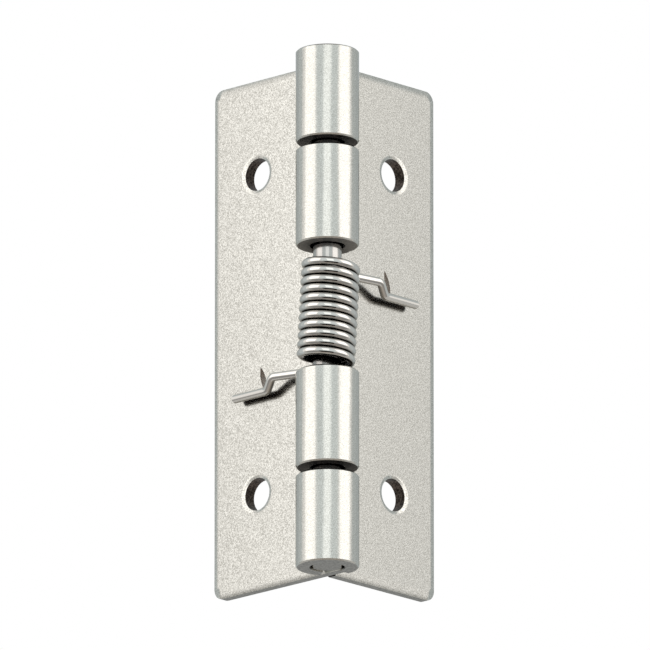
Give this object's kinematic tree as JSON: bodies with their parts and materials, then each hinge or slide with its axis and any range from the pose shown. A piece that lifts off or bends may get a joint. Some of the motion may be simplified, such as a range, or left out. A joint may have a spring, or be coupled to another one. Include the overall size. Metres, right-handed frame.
{
  "type": "spring loaded door hinge",
  "caption": "Spring loaded butt hinge: rolled sheet leaves on a staked pin, with a torsion spring round the pin whose cranked legs bear on the leaves and turn them back to a stop.",
  "frame": {"origin": "midway between the fixed leaf's two screw holes, on that leaf's back face", "axes": "+Z along the hinge pin; +Y out of the fixed leaf's back face, towards what it is screwed to; the fixed leaf runs to -X from the pin and the resting swing leaf runs to +Y"},
  "size_m": [0.0303, 0.0301, 0.0764],
  "materials": {
    "leaf_steel": "tumbled matt stainless sheet with fine grain",
    "pin_steel": "smooth drawn steel rod",
    "spring_wire": "bright drawn spring wire"
  },
  "bodies": {
    "fixed_side": {"fixed_leaf": "leaf_steel", "hinge_pin": "pin_steel", "torsion_spring": "spring_wire"},
    "swing_side": {"swing_leaf": "leaf_steel"}
  },
  "joints": [
    {"name": "hinge_turn", "type": "hinge", "parent": "fixed_side", "child": "swing_side", "pos_m": [0.0165, -0.00455, 0], "axis": [0, 0, -1], "range_deg": [0, 270], "stiffness_Nm_per_rad": 0.079, "springref_deg": -20.05, "deforming": ["torsion_spring"]}
  ]
}
